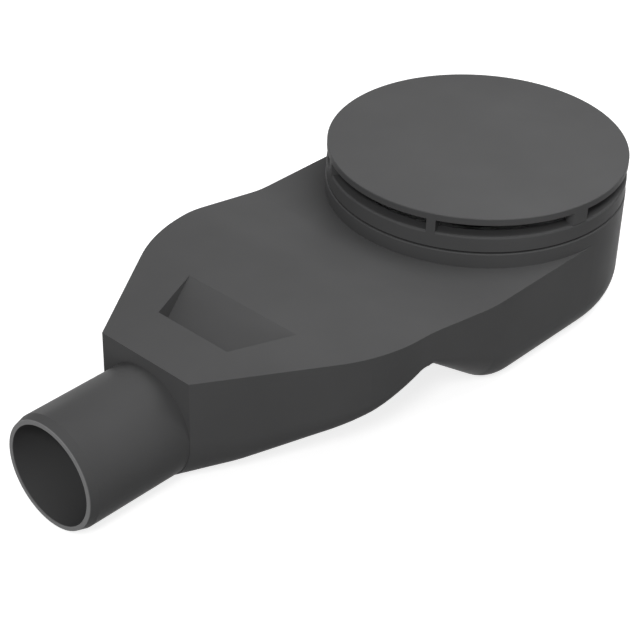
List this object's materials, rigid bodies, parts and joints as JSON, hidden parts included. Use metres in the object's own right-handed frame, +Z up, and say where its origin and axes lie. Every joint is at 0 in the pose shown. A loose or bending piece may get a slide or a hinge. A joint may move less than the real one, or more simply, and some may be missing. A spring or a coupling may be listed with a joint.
{
  "type": "shower trap",
  "caption": "Low shower trap with a slotted round cover, a wide sump body over a weir arch and a side outlet spigot.",
  "frame": {"origin": "on the inlet axis, at the sump's flat underside", "axes": "+X out of the outlet spigot, +Z up along the inlet axis"},
  "size_m": [0.3257, 0.1376, 0.0731],
  "materials": {
    "body_plastic": "satin",
    "cover_plastic": "satin",
    "insert_plastic": "satin",
    "strainer_plastic": "satin",
    "seal_rubber": "matte"
  },
  "bodies": {
    "root": {"trap_body": "body_plastic", "deck": "body_plastic", "outlet_spigot": "body_plastic", "slotted_cover": "cover_plastic", "collar_seal": "seal_rubber", "dip_tube": "insert_plastic", "dip_tube_seal": "seal_rubber", "hair_strainer": "strainer_plastic"}
  },
  "joints": []
}
